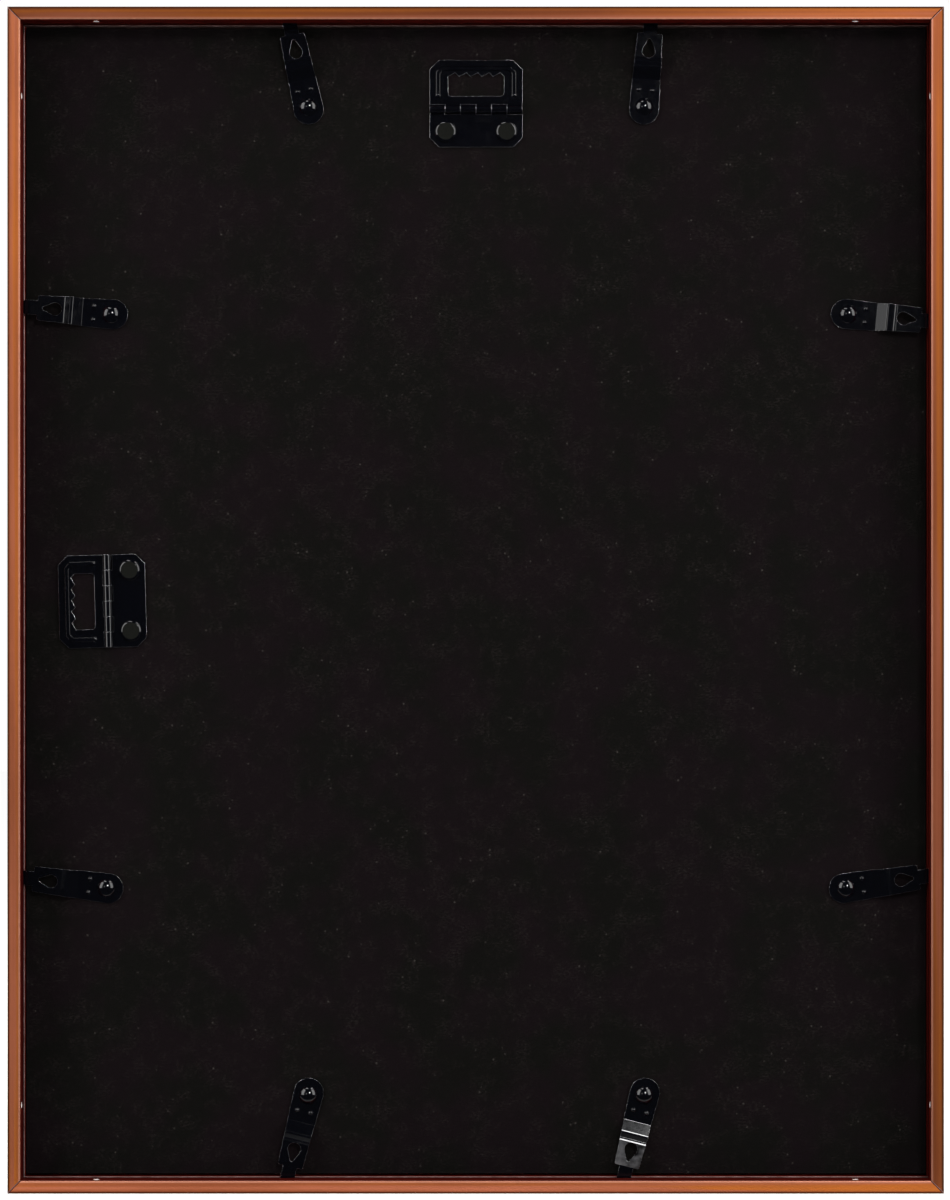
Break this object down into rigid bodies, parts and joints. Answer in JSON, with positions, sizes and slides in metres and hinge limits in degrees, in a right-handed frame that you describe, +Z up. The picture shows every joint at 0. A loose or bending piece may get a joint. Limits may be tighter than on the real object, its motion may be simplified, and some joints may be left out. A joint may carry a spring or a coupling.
{
  "type": "picture frame",
  "caption": "Portrait metal picture frame seen from behind: mitred hollow rails, glazed sheet stack, turn clips over the backing board, and hinged hangers with toothed slots.",
  "frame": {"origin": "centre of the frame's box: half way across, half way up and half way through", "axes": "+Z up as the frame hangs upright, -Y the way the picture looks, +Y towards the wall; left and right in the names are as seen from the front"},
  "size_m": [0.288, 0.0206, 0.365],
  "materials": {
    "copper_aluminium": "brushed, anodised copper",
    "key_steel": "zinc plated",
    "glazing": "clear, polished",
    "mat_card": "matte, off-white",
    "print_paper": "matte, blank",
    "black_board": "matte black faced fibreboard",
    "black_spring_steel": "gloss black",
    "black_steel": "gloss black",
    "black_rivet": "satin black",
    "pin_steel": "blackened"
  },
  "bodies": {
    "frame": {"rail_bottom": "copper_aluminium", "rail_top": "copper_aluminium", "rail_left": "copper_aluminium", "rail_right": "copper_aluminium", "corner_key_top_left": "key_steel", "corner_key_top_right": "key_steel", "corner_key_bottom_left": "key_steel", "corner_key_bottom_right": "key_steel", "glazing_sheet": "glazing", "window_mat": "mat_card", "print_sheet": "print_paper", "backing_board": "black_board", "clip_rivet_top_left": "black_rivet", "clip_rivet_top_right": "black_rivet", "clip_rivet_bottom_left": "black_rivet", "clip_rivet_bottom_right": "black_rivet", "clip_rivet_left_upper": "black_rivet", "clip_rivet_left_lower": "black_rivet", "clip_rivet_right_upper": "black_rivet", "clip_rivet_right_lower": "black_rivet", "hanger_base_upper": "black_steel", "hanger_pin_upper": "pin_steel", "hanger_rivets_upper": "black_rivet", "hanger_base_side": "black_steel", "hanger_pin_side": "pin_steel", "hanger_rivets_side": "black_rivet"},
    "clip_top_left": {"clip_top_left": "black_spring_steel"},
    "clip_top_right": {"clip_top_right": "black_spring_steel"},
    "clip_bottom_left": {"clip_bottom_left": "black_spring_steel"},
    "clip_bottom_right": {"clip_bottom_right": "black_spring_steel"},
    "clip_left_upper": {"clip_left_upper": "black_spring_steel"},
    "clip_left_lower": {"clip_left_lower": "black_spring_steel"},
    "clip_right_upper": {"clip_right_upper": "black_spring_steel"},
    "clip_right_lower": {"clip_right_lower": "black_spring_steel"},
    "loop_upper": {"hanger_loop_upper": "black_steel"},
    "loop_side": {"hanger_loop_side": "black_steel"}
  },
  "joints": [
    {"name": "turn_top_left", "type": "hinge", "parent": "frame", "child": "clip_top_left", "pos_m": [-0.0522, -0.00215, 0.1535], "axis": [0, 1, 0], "continuous": true},
    {"name": "turn_top_right", "type": "hinge", "parent": "frame", "child": "clip_top_right", "pos_m": [0.0522, -0.00215, 0.1535], "axis": [0, 1, 0], "continuous": true},
    {"name": "turn_bottom_left", "type": "hinge", "parent": "frame", "child": "clip_bottom_left", "pos_m": [-0.0522, -0.00215, -0.1535], "axis": [0, 1, 0], "continuous": true},
    {"name": "turn_bottom_right", "type": "hinge", "parent": "frame", "child": "clip_bottom_right", "pos_m": [0.0522, -0.00215, -0.1535], "axis": [0, 1, 0], "continuous": true},
    {"name": "turn_left_upper", "type": "hinge", "parent": "frame", "child": "clip_left_upper", "pos_m": [-0.11565, -0.00215, 0.0891], "axis": [0, 1, 0], "continuous": true},
    {"name": "turn_left_lower", "type": "hinge", "parent": "frame", "child": "clip_left_lower", "pos_m": [-0.115, -0.00215, -0.0891], "axis": [0, 1, 0], "continuous": true},
    {"name": "turn_right_upper", "type": "hinge", "parent": "frame", "child": "clip_right_upper", "pos_m": [0.11356, -0.00215, 0.0891], "axis": [0, 1, 0], "continuous": true},
    {"name": "turn_right_lower", "type": "hinge", "parent": "frame", "child": "clip_right_lower", "pos_m": [0.115, -0.00215, -0.0891], "axis": [0, 1, 0], "continuous": true},
    {"name": "fold_upper", "type": "hinge", "parent": "frame", "child": "loop_upper", "pos_m": [0, -0.00075, 0.1527], "axis": [-1, 0, 0], "range_deg": [0, 175]},
    {"name": "fold_side", "type": "hinge", "parent": "frame", "child": "loop_side", "pos_m": [0.1143, -0.00075, 0], "axis": [0.0262, 0, 0.9997], "range_deg": [0, 175]}
  ]
}
